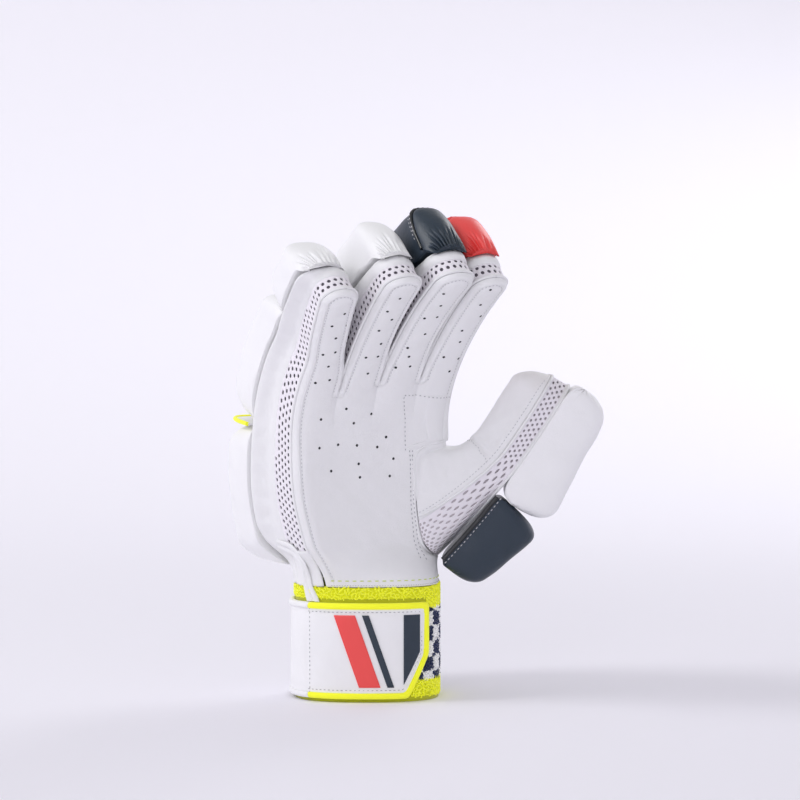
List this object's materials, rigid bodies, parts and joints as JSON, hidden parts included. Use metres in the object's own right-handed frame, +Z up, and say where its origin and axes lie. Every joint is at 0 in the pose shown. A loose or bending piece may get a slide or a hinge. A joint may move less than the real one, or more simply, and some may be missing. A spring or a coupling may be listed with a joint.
{
  "type": "cricket batting glove",
  "caption": "Right-hand cricket batting glove in white leather with padded finger rolls, mesh sides, a towelling cuff and a wrist strap, standing on its cuff.",
  "frame": {"origin": "middle of the whole glove's box at the floor, which the cuff's lower rim stands on", "axes": "+Z up along the hand, +X across the palm towards the thumb, -Y out of the palm"},
  "size_m": [0.1834, 0.157, 0.258],
  "materials": {
    "white_leather": "smooth matt leather with a fine grain",
    "white_mesh": "knitted open mesh, matt",
    "white_padding": "smooth satin leather over foam",
    "navy_padding": "smooth satin leather over foam",
    "red_padding": "smooth satin leather over foam",
    "lime_towelling": "looped towelling",
    "checked_towelling": "looped towelling in a navy and white check",
    "lime_piping": "matt piping",
    "strap_leather": "smooth satin leather",
    "lime_binding": "woven edge tape",
    "navy_trim": "smooth satin leather",
    "red_trim": "smooth satin leather"
  },
  "bodies": {
    "root": {"palm_leather": "white_leather", "back_leather": "white_leather", "gusset_little": "white_mesh", "wall_little": "white_leather", "gusset_ring": "white_mesh", "wall_ring": "white_leather", "gusset_middle": "white_mesh", "wall_middle": "white_leather", "gusset_index": "white_mesh", "wall_index": "white_leather", "heel_little": "white_leather", "heel_thumb": "white_leather", "palm_patch": "white_leather", "roll_tip_little": "white_padding", "roll_mid_little": "white_padding", "roll_hand_little": "white_padding", "roll_tip_ring": "white_padding", "roll_mid_ring": "white_padding", "roll_hand_ring": "white_padding", "roll_tip_middle": "navy_padding", "roll_mid_middle": "white_padding", "roll_hand_middle": "white_padding", "roll_tip_index": "red_padding", "roll_mid_index": "white_padding", "roll_hand_index": "white_padding", "thumb_leather": "white_leather", "thumb_gusset": "white_mesh", "thumb_backing": "white_leather", "thumb_pad_tip": "white_padding", "thumb_pad_root": "navy_padding", "cuff_band_bottom": "lime_towelling", "cuff_towel": "checked_towelling", "cuff_band_top": "lime_towelling", "back_piping": "lime_piping", "wrist_flap": "white_leather", "strap_binding": "lime_binding", "strap": "strap_leather", "strap_end_panel": "navy_trim", "strap_stripe_thin": "navy_trim", "strap_stripe_wide": "red_trim"}
  },
  "joints": []
}
